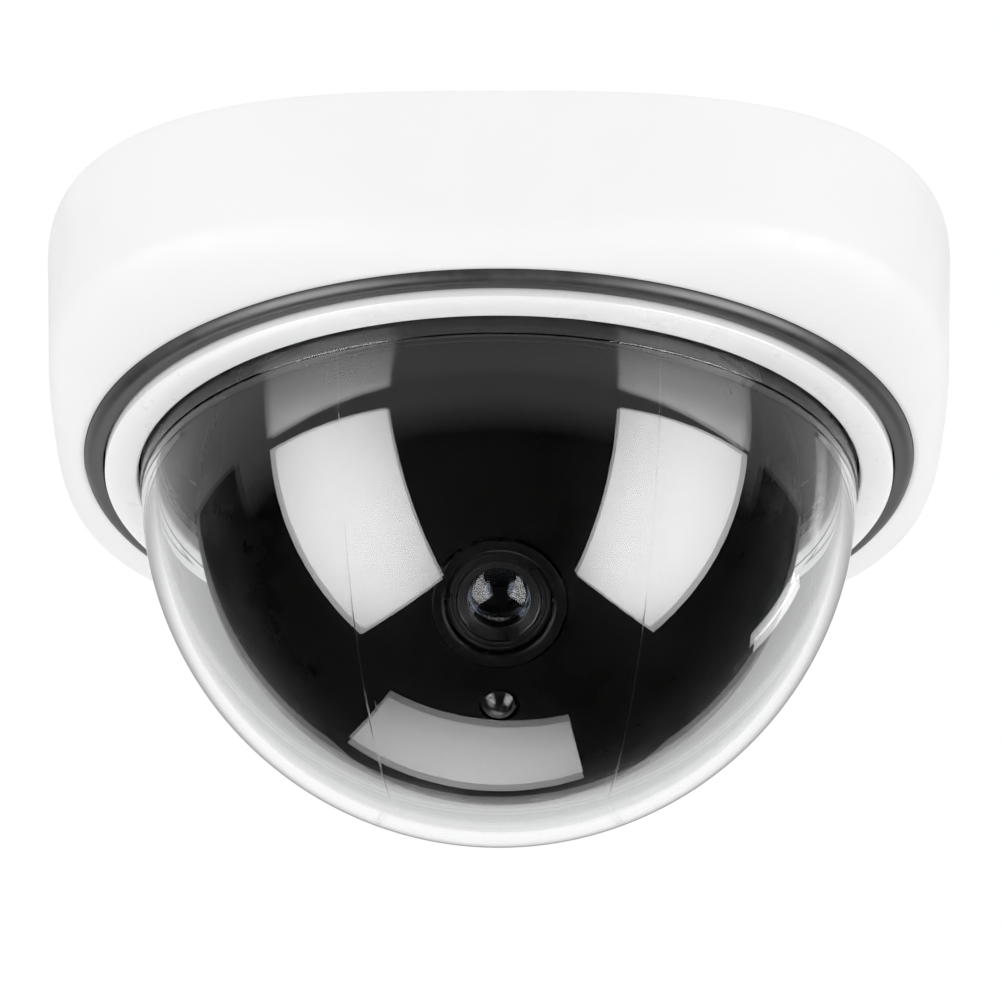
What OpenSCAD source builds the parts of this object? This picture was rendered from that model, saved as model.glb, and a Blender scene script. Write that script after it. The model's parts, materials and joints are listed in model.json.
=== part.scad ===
// Ceiling dome camera: a rounded-square housing, a clear dome that twists off, and an eyeball
// inside it that pans, tilts and turns about its lens.
// The ceiling face is at z = 0, the dome hangs towards -Z, and the lens looks towards -Y and down.

/* [Housing] */
// Width across the flat sides, at the ceiling
across_flats = 120; // [119:0.5:123]
// Height from the ceiling to the lower face
housing_h = 23; // [22:0.5:24]
// Thickness of the housing wall
wall = 2.4; // [2:0.1:2.8]
// Exponent of the rounded-square outline, where 2 would be a circle
squareness = 3; // [2.8:0.1:4]
// Draft of the side wall, in mm for each mm of height
draft = 0.04; // [0.02:0.002:0.05]
// Height over which the side wall rolls into the lower face
edge_h = 6.5; // [5.5:0.5:7]
// Exponent of that roll, where 1 is a quarter ellipse
edge_power = 1.6; // [1:0.1:1.7]

/* [Rings and dome] */
// Outer radius of the black bead ring
bead_r = 55; // [54.6:0.1:55.4]
// Outer radius of the white trim ring
trim_r = 52.2; // [52:0.05:52.3]
// Radius of the opening in the trim ring
opening_r = 47.8; // [47.7:0.05:47.9]
// Outer radius of the clear dome
dome_r = 47.5; // [47.2:0.05:47.5]
// Thickness of the clear dome
dome_t = 2; // [1.5:0.1:2.4]
// Depth of the dome's centre below the housing's lower face
dome_drop = 3.6; // [3.4:0.1:3.8]

/* [Eyeball] */
// Outer radius of the black eyeball shell
ball_r = 40; // [39.8:0.1:40.2]
// Depth of the eyeball's centre below the dome's centre
ball_drop = 1.9; // [1.6:0.1:2.2]
// Angle of the lens below the horizontal, at rest
lens_angle = 45; // [44:1:46]
// Angle from the lens axis to the status light
led_angle = 21; // [21:0.5:24]

/* [Mounting] */
// Diameter of the circle of ceiling screws
screw_circle = 88; // [86:1:90]
// Radius of each ceiling screw hole
screw_hole_r = 2.25; // [2:0.05:2.5]
// Radius of the cable bore in the grommet
cable_r = 3.2; // [2.5:0.1:4]

/* [Hidden] */
$fn = 96;
eps = 0.01;

// Outline of the housing
half_w = across_flats / 2;
outline_steps = 72;
face_z = -housing_h;
face_edge_r = bead_r + 0.6;
face_t = 2.2;
gap = 0.3;

// Stack at the opening, from the shelf down
shelf_under_z = face_z + 2.5;
shelf_t = 2;
shelf_in_r = 49.6;
collar_r = 57.2;
notch_r = 52.4;
lug_turn = 30;
lug_width = 20;
seat_z = face_z + 1.1;
flange_t = 1.5;
gasket_t = 0.4;
trim_low_z = face_z - 3;
dome_z = face_z - dome_drop;
flange_r = 49;
seat_r = 49.2;
cover_screws_r = 50.7;

// Plate, hub and turntable
plate_t = 3;
plate_half = half_w - wall - 0.4;
hub_r = 14;
hub_z = -8.15;
cable_hole_r = 10;
hub_land_r = 18;
pocket_depth = 1.4;
boss_at = 40;
retainer_screws_r = 12;
yoke_screw_x = 26.5;
yoke_screw_y = 3.4;
pan_z = -8;
pan_t = 2.4;
pan_r = 36;
washer_r = 22;

// Eyeball
ball_z = dome_z - ball_drop;
ball_t = 1.8;
ball_in_r = ball_r - ball_t;
rim_tilt = 8;
rim_h = 4.2;
ear_x = 29;
ear_t = 2.8;
yoke_x = 32.5;
yoke_t = 2.5;
yoke_w = 12;
pivot_r = 2.5;
run = 0.05;
shell_screw_x = 24;
led_r = 2.5;
led_dome_z = 38.6;
led_leg_x = 1.27;
reset_at = [3.75, -4.25];

// Camera module, measured along the lens axis from the eyeball's centre
can_r = 15;
can_t = 1;
can_low = 4.5;
can_high = 22;
cradle_low = 13;
cradle_high = 19;
main_board_s = 6;
sensor_board_s = 16;
board_t = 1.5;
board_r = 13.5;
post_r = 10.8;
holder_top = 30;
thread_r = 6;
bezel_r = 8.4;
bezel_top = 39.6;
glass_r = 3.9;
barrel_low = 20.4;

// Radius of a rounded square of half width h at angle a
function squircle_r(h, a) =
    h / pow(pow(abs(cos(a)), squareness) + pow(abs(sin(a)), squareness), 1 / squareness);

// Radius of the housing's outside at height z and angle a: a drafted wall, then a roll into a circle
function wall_r(z, a) = squircle_r(half_w, a) + draft * z;
function roll_r(turn, a, edge_r, inset, low_z, high_z) =
    edge_r + (wall_r(high_z, a) - inset - edge_r) * pow(cos(turn), edge_power);
function roll_z(turn, low_z, high_z) = low_z + (high_z - low_z) * (1 - sin(turn));

function ring_points(radii, z) =
    [for (i = [0:outline_steps - 1]) let (a = 360 * i / outline_steps) [radii[i] * cos(a), radii[i] * sin(a), z]];
function wall_ring(z, inset) =
    ring_points([for (i = [0:outline_steps - 1]) wall_r(z, 360 * i / outline_steps) - inset], z);
function roll_ring(turn, edge_r, inset, low_z, high_z) =
    ring_points([for (i = [0:outline_steps - 1])
        roll_r(turn, 360 * i / outline_steps, edge_r, inset, low_z, high_z)], roll_z(turn, low_z, high_z));

// A closed skin over rings of points, from the top ring to the bottom one
module loft(rings) {
    n = outline_steps;
    m = len(rings);
    skin = [for (k = [0:m - 2], i = [0:n - 1], half = [0, 1])
        let (j = (i + 1) % n)
        half == 0 ? [k * n + i, k * n + j, (k + 1) * n + i] : [k * n + j, (k + 1) * n + j, (k + 1) * n + i]];
    polyhedron(points = [for (r = rings) for (p = r) p],
        faces = concat([[for (i = [n - 1:-1:0]) i]], skin, [[for (i = [0:n - 1]) (m - 1) * n + i]]));
}

// A ring of rectangular section
module ring(r_out, r_in, low_z, high_z) {
    translate([0, 0, low_z])
        rotate_extrude()
            translate([r_in, 0])
                square([r_out - r_in, high_z - low_z]);
}

// A wedge from the axis, width degrees wide and centred on angle at
module wedge(at, width, r, low_z, high_z) {
    translate([0, 0, low_z])
        linear_extrude(high_z - low_z)
            polygon([[0, 0], r * [cos(at - width / 2), sin(at - width / 2)],
                r * [cos(at), sin(at)] / cos(width / 2), r * [cos(at + width / 2), sin(at + width / 2)]]);
}

module around(count, r, start = 0) {
    for (i = [0:count - 1])
        rotate(start + 360 * i / count)
            translate([r, 0, 0])
                children();
}

module in_corners() {
    for (x = [-1, 1], y = [-1, 1])
        translate([x * boss_at, y * boss_at, 0])
            children();
}

module on_both_sides() {
    for (side = [0, 1])
        mirror([side, 0, 0])
            children();
}

// A screw whose head is seated at z = 0 and points towards +Z
module screw(shaft_r, length, head_r, head_h) {
    difference() {
        union() {
            translate([0, 0, -length])
                cylinder(h = length + eps, r = shaft_r);
            cylinder(h = head_h, r1 = head_r, r2 = head_r * 0.8);
        }
        cross_slot(head_r, head_h);
    }
}

// A countersunk screw whose flat top is at z = 0
module flush_screw(shaft_r, length, head_r) {
    sink = head_r - shaft_r;
    difference() {
        union() {
            translate([0, 0, -length])
                cylinder(h = length - sink + eps, r = shaft_r);
            translate([0, 0, -sink])
                cylinder(h = sink, r1 = shaft_r, r2 = head_r);
        }
        cross_slot(head_r * 0.9, 0);
    }
}

module cross_slot(head_r, head_h) {
    for (turn = [0, 90])
        rotate(turn)
            translate([-head_r * 0.6, -head_r * 0.13, head_h - head_r * 0.4])
                cube([head_r * 1.2, head_r * 0.26, head_r]);
}

// The lens frame: z runs out along the lens axis, and its zero is the eyeball's centre
module lens_frame() {
    translate([0, 0, ball_z])
        rotate([90 + lens_angle, 0, 0])
            children();
}

module led_frame() {
    lens_frame()
        rotate([led_angle, 0, 0])
            children();
}

// ---- Base: what stays on the ceiling ----

module plate_outline(half) {
    polygon([for (i = [0:outline_steps - 1]) let (a = 360 * i / outline_steps)
        squircle_r(half, a) * [cos(a), sin(a)]]);
}

// The shallow pockets in the ceiling side, with the lands and ribs between them left standing
module plate_pockets() {
    rib_w = 1.6;
    difference() {
        translate([0, 0, -pocket_depth])
            linear_extrude(pocket_depth + 1)
                plate_outline(plate_half - 2.4);
        ring(hub_land_r, 0, -plate_t, 2);
        ring(33, 33 - rib_w, -plate_t, 2);
        around(16, 14)
            translate([0, -rib_w / 2, -plate_t])
                cube([52, rib_w, plate_t + 2]);
        around(4, screw_circle / 2)
            translate([0, 0, -plate_t])
                cylinder(h = plate_t + 2, r = 5.6);
        in_corners()
            translate([0, 0, -plate_t])
                cylinder(h = plate_t + 2, r = 5);
    }
}

module mounting_plate() {
    rib_low = -6;
    color("dimgray")
        difference() {
            union() {
                translate([0, 0, -plate_t])
                    linear_extrude(plate_t)
                        plate_outline(plate_half);
                ring(washer_r + 1, cable_hole_r, -4.6, -plate_t);
                ring(hub_r, cable_hole_r, hub_z, -plate_t);
                ring(40.5, 38.5, rib_low, -plate_t);
                around(8, 40, 22.5)
                    translate([0, -0.8, rib_low])
                        cube([9, 1.6, plate_t]);
                around(4, screw_circle / 2)
                    translate([0, 0, rib_low])
                        cylinder(h = plate_t, r = 4.6);
            }
            plate_pockets();
            translate([0, 0, -20])
                cylinder(h = 30, r = cable_hole_r);
            around(4, screw_circle / 2)
                translate([0, 0, -20])
                    cylinder(h = 30, r = screw_hole_r);
            around(3, retainer_screws_r, 30)
                translate([0, 0, hub_z - eps])
                    cylinder(h = 5, r = 1);
            in_corners() {
                translate([0, 0, -plate_t - eps])
                    cylinder(h = plate_t + 1, r = 1.6);
                translate([0, 0, -1.7])
                    cylinder(h = 1.8, r1 = 1.5, r2 = 3.3);
            }
        }
}

module plate_screws() {
    color("silver")
        in_corners()
            translate([0, 0, -0.15])
                flush_screw(1.2, 12, 2.8);
}

module housing() {
    low_in = face_z + face_t;
    roll_top = face_z + edge_h;
    turns = [0:15:90];
    color("white")
        difference() {
            union() {
                difference() {
                    loft(concat([wall_ring(0, 0.5), wall_ring(-0.5, 0)],
                        [for (t = turns) roll_ring(t, face_edge_r, 0, face_z, roll_top)]));
                    loft(concat([wall_ring(1, wall)],
                        [for (t = turns) roll_ring(t, face_edge_r - wall, wall, low_in, roll_top)]));
                }
                ring(collar_r, shelf_in_r - 1, low_in - 0.6, shelf_under_z + shelf_t);
                in_corners()
                    translate([0, 0, low_in - 0.5])
                        cylinder(h = -plate_t - low_in + 0.5, r = 3.4);
            }
            translate([0, 0, face_z - 5])
                cylinder(h = 20, r = shelf_in_r);
            translate([0, 0, face_z - 5])
                cylinder(h = shelf_under_z - face_z + 5, r = bead_r);
            for (i = [0:2])
                intersection() {
                    ring(notch_r, shelf_in_r - 2, shelf_under_z - 1, shelf_under_z + shelf_t + 1);
                    wedge(90 + 120 * i + lug_turn, lug_width + 6, 70, -30, 0);
                }
            in_corners()
                translate([0, 0, -13])
                    cylinder(h = 12, r = 1.25);
        }
}

module bead_ring() {
    bead_in_r = trim_r + 0.25;
    bead_out_r = bead_r - 0.05;
    round_r = 1.45;
    color("dimgray")
        rotate_extrude()
            difference() {
                translate([bead_in_r, face_z - round_r])
                    square([bead_out_r - bead_in_r, shelf_under_z - eps - face_z + round_r]);
                difference() {
                    translate([bead_out_r - round_r, face_z - round_r - 1])
                        square([round_r + 1, round_r + 1]);
                    translate([bead_out_r - round_r, face_z])
                        circle(round_r);
                }
            }
}

module cable_grommet() {
    color("dimgray")
        difference() {
            union() {
                ring(cable_hole_r - 0.1, cable_r, hub_z + 0.2, -0.5);
                ring(cable_r + 1.6, cable_r, hub_z - 2.5, hub_z + 0.3);
            }
            translate([0, 0, -1.5])
                cylinder(h = 1.1, r1 = cable_r, r2 = cable_r + 1.6);
        }
}

module pan_washer() {
    color("white")
        ring(washer_r, hub_r + 0.3, pan_z + pan_t + 0.1, -4.6);
}

module pan_retainer() {
    color("silver")
        difference() {
            ring(18, 9, hub_z - 1.25, hub_z);
            around(3, retainer_screws_r, 30)
                translate([0, 0, -12])
                    cylinder(h = 10, r = 1.1);
        }
}

module retainer_screws() {
    color("silver")
        around(3, retainer_screws_r, 30)
            translate([0, 0, hub_z - 1.25])
                rotate([180, 0, 0])
                    screw(0.95, 5.2, 2, 1.2);
}

// ---- Dome cover: what twists off ----

module trim_ring() {
    curve_top = face_z - 2.3;
    steps = 10;
    nose_r = 0.45;
    color("white")
        difference() {
            rotate_extrude()
                polygon(concat(
                    [[seat_r, seat_z], [trim_r, seat_z]],
                    [for (i = [0:steps]) let (a = 90 * i / steps)
                        [opening_r + nose_r + (trim_r - opening_r - nose_r) * cos(a),
                            curve_top + (trim_low_z - curve_top) * sin(a)]],
                    [for (i = [1:4]) let (a = 90 * i / 4)
                        [opening_r + nose_r - nose_r * sin(a), trim_low_z + nose_r - nose_r * cos(a)]],
                    [[opening_r, seat_z - flange_t - gasket_t], [seat_r, seat_z - flange_t - gasket_t]]));
            around(6, cover_screws_r)
                translate([0, 0, seat_z - 2.2])
                    cylinder(h = 3, r = 0.75);
        }
}

module dome() {
    color("lightcyan", 0.3)
        rotate_extrude() {
            translate([0, dome_z])
                intersection() {
                    difference() {
                        circle(dome_r);
                        circle(dome_r - dome_t);
                    }
                    translate([0, -dome_r])
                        square([dome_r, dome_r]);
                }
            translate([dome_r - dome_t, dome_z])
                square([dome_t, seat_z - dome_z]);
            translate([dome_r - dome_t, seat_z - flange_t])
                square([flange_r - dome_r + dome_t, flange_t]);
        }
}

module dome_gasket() {
    color("dimgray")
        ring(flange_r, opening_r, seat_z - flange_t - gasket_t, seat_z - flange_t);
}

module bayonet_ring() {
    plate_top = shelf_under_z - gap;
    lug_low = shelf_under_z + shelf_t + gap;
    lug_high = lug_low + 1.7;
    neck_r = shelf_in_r - gap;
    color([0.1, 0.1, 0.1])
        difference() {
            union() {
                ring(trim_r - 0.2, 46.2, seat_z, plate_top);
                ring(neck_r, 46.6, seat_z, lug_high);
                for (i = [0:2])
                    intersection() {
                        ring(notch_r - gap, neck_r - 0.5, lug_low, lug_high);
                        wedge(90 + 120 * i, lug_width, 70, -30, 0);
                    }
            }
            around(6, cover_screws_r)
                translate([0, 0, seat_z - 1]) {
                    cylinder(h = 5, r = 0.85);
                    translate([0, 0, plate_top - seat_z + 0.4])
                        cylinder(h = 0.7, r1 = 0.85, r2 = 1.6);
                }
        }
}

module bayonet_screws() {
    color("silver")
        around(6, cover_screws_r)
            translate([0, 0, shelf_under_z - gap - 0.05])
                flush_screw(0.7, 3, 1.3);
}

// ---- Turntable and yoke: what pans ----

module pan_plate() {
    color("dimgray")
        difference() {
            ring(pan_r, hub_r + run, pan_z, pan_z + pan_t);
            for (turn = [90, 270])
                intersection() {
                    ring(32, 25, -12, -2);
                    wedge(turn, 70, 60, -12, -2);
                }
            on_both_sides()
                for (y = [-yoke_screw_y, yoke_screw_y])
                    translate([yoke_screw_x, y, -12])
                        cylinder(h = 8, r = 0.9);
        }
}

module yoke_arm() {
    foot_t = 2;
    color("silver")
        difference() {
            union() {
                translate([22.5, -yoke_w / 2, pan_z - foot_t])
                    cube([yoke_x + yoke_t - 22.5, yoke_w, foot_t]);
                translate([yoke_x, -yoke_w / 2, ball_z])
                    cube([yoke_t, yoke_w, pan_z - ball_z]);
                translate([yoke_x, 0, ball_z])
                    rotate([0, 90, 0])
                        cylinder(h = yoke_t, r = yoke_w / 2);
                for (y = [-yoke_w / 2, yoke_w / 2 - 1.2])
                    translate([yoke_x + eps, y + 1.2, pan_z - foot_t + eps])
                        rotate([90, 0, 0])
                            linear_extrude(1.2)
                                polygon([[0, 0], [-3, 0], [0, -4]]);
            }
            translate([yoke_x - 1, 0, ball_z])
                rotate([0, 90, 0])
                    cylinder(h = yoke_t + 2, r = pivot_r);
            for (y = [-yoke_screw_y, yoke_screw_y])
                translate([yoke_screw_x, y, -20])
                    cylinder(h = 14, r = 1.1);
        }
}

module yoke_left() {
    mirror([1, 0, 0])
        yoke_arm();
}

module yoke_right() {
    yoke_arm();
}

module yoke_screws() {
    color("silver")
        on_both_sides()
            for (y = [-yoke_screw_y, yoke_screw_y])
                translate([yoke_screw_x, y, pan_z - 2])
                    rotate([180, 0, 0])
                        screw(0.85, 4.2, 1.8, 1.2);
}

// ---- Eyeball: what tilts ----

module cradle() {
    ear_r = 6;
    web_t = 3;
    color("dimgray")
        lens_frame()
            difference() {
                union() {
                    ring(can_r + 3.2, can_r + run, cradle_low, cradle_high);
                    on_both_sides() {
                        translate([can_r + 1.5, -ear_r, cradle_low])
                            cube([ear_x + ear_t - can_r - 1.5, 2 * ear_r, web_t]);
                        translate([ear_x, -ear_r, 0])
                            cube([ear_t, 2 * ear_r, cradle_low + web_t]);
                        translate([ear_x, 0, 0])
                            rotate([0, 90, 0])
                                cylinder(h = ear_t, r = ear_r);
                    }
                }
                on_both_sides() {
                    translate([shell_screw_x, 0, cradle_low - 1])
                        cylinder(h = 8, r = 1.2);
                    translate([ear_x - 1, 0, 0])
                        rotate([0, 90, 0])
                            cylinder(h = ear_t + 2, r = 1.6);
                }
                translate([0, 0, cradle_low - 1])
                    cylinder(h = 10, r = can_r + run);
            }
}

module tilt_screws() {
    shoulder_x = ear_x + ear_t + 0.05;
    head_x = yoke_x + yoke_t + 0.2;
    color("silver")
        on_both_sides()
            translate([0, 0, ball_z])
                rotate([0, 90, 0])
                    difference() {
                        union() {
                            translate([0, 0, ear_x - 3])
                                cylinder(h = shoulder_x - ear_x + 3 + eps, r = 1.55);
                            translate([0, 0, shoulder_x])
                                cylinder(h = head_x - shoulder_x + eps, r = pivot_r - run);
                            translate([0, 0, head_x])
                                cylinder(h = 1.6, r1 = 3.5, r2 = 3);
                        }
                        translate([0, 0, head_x + 1.6])
                            cross_slot(3, 0);
                    }
}

module tilt_washers() {
    color("white")
        on_both_sides()
            translate([ear_x + ear_t + 0.05, 0, ball_z])
                rotate([0, 90, 0])
                    ring(5.4, pivot_r + 0.05, 0, yoke_x - ear_x - ear_t - 0.15);
}

module eyeball_shell() {
    color([0.06, 0.06, 0.06])
        difference() {
            union() {
                translate([0, 0, ball_z])
                    difference() {
                        sphere(ball_r);
                        sphere(ball_in_r);
                        rotate([-rim_tilt, 0, 0])
                            translate([-60, -60, rim_h])
                                cube([120, 120, 80]);
                    }
                lens_frame()
                    on_both_sides()
                        intersection() {
                            translate([shell_screw_x, 0, cradle_low + 3])
                                cylinder(h = 30, r = 2.6);
                            sphere(ball_r - 0.6);
                        }
            }
            lens_frame() {
                translate([0, 0, 20])
                    cylinder(h = 30, r = bezel_r + gap);
                on_both_sides()
                    translate([shell_screw_x, 0, cradle_low + 2])
                        cylinder(h = 10, r = 1);
            }
            led_frame()
                translate([0, 0, 30])
                    cylinder(h = 20, r = led_r + 0.1);
        }
}

module shell_screws() {
    color("silver")
        lens_frame()
            on_both_sides()
                translate([shell_screw_x, 0, cradle_low])
                    rotate([180, 0, 0])
                        screw(0.95, 10, 2, 1.3);
}

module status_led() {
    low = 34.9;
    color([0.25, 0.1, 0.1])
        led_frame() {
            translate([0, 0, low + 0.8])
                cylinder(h = led_dome_z - low - 0.8, r = led_r);
            translate([0, 0, led_dome_z - eps])
                intersection() {
                    sphere(led_r);
                    translate([-5, -5, 0])
                        cube([10, 10, 5]);
                }
            translate([0, 0, low])
                cylinder(h = 0.85, r = led_r + 0.3);
            for (x = [-led_leg_x, led_leg_x])
                translate([x, 0, low - 1.7])
                    cylinder(h = 1.7 + eps, r = 0.25);
        }
}

module led_holder() {
    color([0.1, 0.1, 0.1])
        led_frame()
            ring(led_r + 1.2, led_r + 0.4, 33.1, ball_in_r - 0.4);
}

module led_board() {
    color("darkgreen")
        led_frame()
            difference() {
                translate([0, 0, 33.5])
                    cylinder(h = 0.8, r = led_r + 0.35);
                for (x = [-led_leg_x, led_leg_x])
                    translate([x, 0, 33])
                        cylinder(h = 3, r = 0.3);
            }
}

// ---- Camera module: what turns about the lens axis ----

module module_can() {
    groove_r = can_r - 0.4;
    color("dimgray")
        lens_frame()
            difference() {
                union() {
                    ring(can_r, can_r - can_t, can_low, can_high);
                    ring(can_r + 1.5, can_r - can_t, cradle_low - 1.2, cradle_low - 0.1);
                    ring(can_r - can_t + eps, bezel_r + 0.3, can_high - 1.5, can_high);
                    ring(can_r - can_t + eps, 13, sensor_board_s + board_t + 0.1, sensor_board_s + 2.6);
                }
                ring(can_r + 1, groove_r, cradle_high + 0.1, cradle_high + 0.9);
                for (turn = [0:60:300])
                    rotate(turn)
                        translate([can_r - 3, -2, can_low - 1])
                            cube([6, 4, 3.2]);
            }
}

module module_clip() {
    color("silver")
        lens_frame()
            difference() {
                ring(can_r + 1.7, can_r - 0.35, cradle_high + 0.1, cradle_high + 0.85);
                wedge(90, 24, 20, 10, 30);
            }
}

module lens_bezel() {
    lip = 2.1;
    color([0.07, 0.07, 0.07])
        lens_frame()
            rotate_extrude()
                polygon([[7.6, holder_top], [8.2, holder_top], [8.2, 33], [bezel_r, 36], [bezel_r, bezel_top - 0.3],
                    [bezel_r - 0.3, bezel_top], [7.2, bezel_top], [6.85, bezel_top - 0.25],
                    [6.85, bezel_top - lip], [7.6, bezel_top - lip - 0.6]]);
}

module lens_holder() {
    base_w = 18;
    base_low = sensor_board_s + board_t;
    base_t = 2.6;
    color([0.1, 0.1, 0.1])
        lens_frame()
            difference() {
                union() {
                    translate([-base_w / 2, -base_w / 2, base_low])
                        cube([base_w, base_w, base_t]);
                    translate([0, 0, base_low + base_t - eps])
                        cylinder(h = holder_top - base_low - base_t, r = 8.2);
                }
                translate([0, 0, base_low + base_t])
                    cylinder(h = 20, r = thread_r);
                translate([-6, -6, base_low - 1])
                    cube([12, 12, 2.7]);
                translate([0, 0, base_low])
                    cylinder(h = base_t + 1, r = 4);
            }
}

module lock_ring() {
    color("silver")
        lens_frame()
            difference() {
                ring(7.4, thread_r + run, holder_top + 0.1, holder_top + 1.9);
                for (turn = [0:30:150])
                    rotate(turn)
                        translate([-8, -0.35, holder_top + 1.2])
                            cube([16, 0.7, 1]);
            }
}

module sensor_board() {
    color("darkgreen")
        lens_frame()
            difference() {
                translate([0, 0, sensor_board_s])
                    cylinder(h = board_t, r = board_r);
                around(3, post_r, 90)
                    translate([0, 0, 10])
                        cylinder(h = 10, r = 0.9);
            }
}

module image_sensor() {
    color([0.15, 0.16, 0.2])
        lens_frame()
            translate([-4, -3.5, sensor_board_s + board_t])
                cube([8, 7, 1.1]);
}

module ir_filter() {
    color([0.5, 0.7, 0.75], 0.5)
        lens_frame()
            translate([-4.8, -4.8, sensor_board_s + board_t + 1.2])
                cube([9.6, 9.6, 0.5]);
}

module main_board() {
    color("darkgreen")
        lens_frame()
            difference() {
                translate([0, 0, main_board_s])
                    cylinder(h = board_t, r = board_r);
                around(3, post_r, 90)
                    translate([0, 0, 0])
                        cylinder(h = 10, r = 1.15);
            }
}

module board_chips() {
    top = main_board_s + board_t;
    color([0.12, 0.12, 0.13])
        lens_frame() {
            translate([-7, -4, top])
                cube([9, 9, 1.2]);
            translate([3, -2, top])
                cube([6, 8, 1]);
            for (i = [0:4])
                translate([-6 + 2.4 * i, -8.4, top])
                    cube([1.2, 2, 0.8]);
            for (i = [0:3])
                translate([-4.5 + 2.4 * i, 6.4, top])
                    cube([1.6, 0.9, 0.7]);
            translate([10.4, -1.6, top])
                cube([2.4, 3.2, 1.6]);
        }
}

module link_connector() {
    color("ivory")
        lens_frame()
            translate([-3.5, -11.6, main_board_s + board_t])
                cube([7, 2.6, sensor_board_s - main_board_s - board_t]);
}

module board_spacers() {
    color("gold")
        lens_frame()
            around(3, post_r, 90)
                ring(2.1, 1.05, main_board_s + board_t, sensor_board_s);
}

module board_screws() {
    color("silver")
        lens_frame()
            around(3, post_r, 90)
                translate([0, 0, main_board_s])
                    rotate([180, 0, 0])
                        screw(1, 6.5, 1.9, 1.2);
}

module cable_socket() {
    socket_h = 4;
    color("ivory")
        lens_frame()
            difference() {
                translate([-5.5, 1.5, main_board_s - socket_h])
                    cube([8, 5, socket_h]);
                translate([-4.8, 2.2, main_board_s - socket_h - 1])
                    cube([6.6, 3.6, socket_h]);
            }
}

module reset_switch() {
    body_w = 4.5;
    color([0.2, 0.2, 0.22])
        lens_frame()
            difference() {
                translate([reset_at[0] - body_w / 2, reset_at[1] - body_w / 2, main_board_s - 1.7])
                    cube([body_w, body_w, 1.7]);
                translate([reset_at[0], reset_at[1], main_board_s - 2.7])
                    cylinder(h = 2.5, r = 1.2);
            }
}

module reset_button() {
    color("ivory")
        lens_frame()
            translate([reset_at[0], reset_at[1], main_board_s - 3])
                cylinder(h = 2.4, r = 1.1);
}

// ---- Lens: what turns for focus ----

module lens_barrel() {
    color([0.08, 0.08, 0.08])
        lens_frame()
            rotate_extrude()
                polygon([[3.65, barrel_low], [thread_r - run, barrel_low], [thread_r - run, 33], [6.7, 33.4],
                    [6.7, 38.2], [6.45, 38.5], [5.6, 38.5], [5.5, 36.8], [3.95, 36.8], [3.95, 35], [3.2, 34.4],
                    [3.2, 24.4], [3.65, 24]]);
}

module lens_ring() {
    color([0.12, 0.12, 0.12])
        lens_frame()
            rotate_extrude()
                polygon([[3.98, 36.85], [5.45, 36.85], [5.45, 38], [5.2, 38.2], [4.3, 37.7], [3.98, 37.3]]);
}

module front_element() {
    curve_r = 6.4;
    color([0.3, 0.35, 0.45], 0.6)
        lens_frame()
            intersection() {
                translate([0, 0, 38.6 - curve_r])
                    sphere(curve_r);
                translate([0, 0, 35.05])
                    cylinder(h = 5, r = glass_r);
            }
}

module rear_element() {
    curve_r = 7;
    color([0.3, 0.35, 0.45], 0.6)
        lens_frame()
            intersection() {
                translate([0, 0, barrel_low + 0.3 + curve_r])
                    sphere(curve_r);
                translate([0, 0, barrel_low])
                    cylinder(h = 3.5, r = 3.6);
            }
}

mounting_plate();
plate_screws();
housing();
bead_ring();
cable_grommet();
pan_washer();
pan_retainer();
retainer_screws();
trim_ring();
dome();
dome_gasket();
bayonet_ring();
bayonet_screws();
pan_plate();
yoke_left();
yoke_right();
yoke_screws();
cradle();
tilt_screws();
tilt_washers();
eyeball_shell();
shell_screws();
status_led();
led_holder();
led_board();
module_can();
module_clip();
lens_bezel();
lens_holder();
lock_ring();
sensor_board();
image_sensor();
ir_filter();
main_board();
board_chips();
link_connector();
board_spacers();
board_screws();
cable_socket();
reset_switch();
reset_button();
lens_barrel();
lens_ring();
front_element();
rear_element();
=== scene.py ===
"""The looks of a ceiling dome camera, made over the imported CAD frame.

Everything is in metres in the frame's own axes: +Z up into the ceiling, and the lens looks towards -Y
and down. Sizes come from the boxes of the CAD nodes, and details are given in millimetres.
"""

import json
import math

import bmesh
import bpy
from mathutils import Matrix, Vector


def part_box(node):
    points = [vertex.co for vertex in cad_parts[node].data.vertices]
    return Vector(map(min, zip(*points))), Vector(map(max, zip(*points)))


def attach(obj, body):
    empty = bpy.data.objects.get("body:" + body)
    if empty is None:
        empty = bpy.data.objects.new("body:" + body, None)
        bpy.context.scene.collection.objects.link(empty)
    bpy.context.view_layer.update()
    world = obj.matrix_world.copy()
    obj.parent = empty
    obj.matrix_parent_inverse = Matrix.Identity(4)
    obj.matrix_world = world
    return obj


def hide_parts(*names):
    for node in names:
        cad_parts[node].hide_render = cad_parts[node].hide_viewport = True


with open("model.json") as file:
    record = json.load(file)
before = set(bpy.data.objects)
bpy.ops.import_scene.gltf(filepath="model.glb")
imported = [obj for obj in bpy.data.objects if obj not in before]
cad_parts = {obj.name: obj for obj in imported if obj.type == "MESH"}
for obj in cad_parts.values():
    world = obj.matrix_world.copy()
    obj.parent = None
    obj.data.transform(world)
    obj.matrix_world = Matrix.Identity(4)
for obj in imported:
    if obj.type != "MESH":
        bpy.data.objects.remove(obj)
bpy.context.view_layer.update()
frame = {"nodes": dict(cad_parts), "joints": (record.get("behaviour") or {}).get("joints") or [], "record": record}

MM = 0.001
NODES = frame["nodes"]
JOINTS = {joint["name"]: joint for joint in frame["joints"]}


def low_of(node):
    """The lowest z of a CAD node, in mm."""
    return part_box(node)[0].z / MM


def radius_of(node):
    """The outer radius of a CAD node that is round about the Z axis, in mm."""
    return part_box(node)[1].x / MM


# ---- Sizes in mm, from the frame ----

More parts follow.
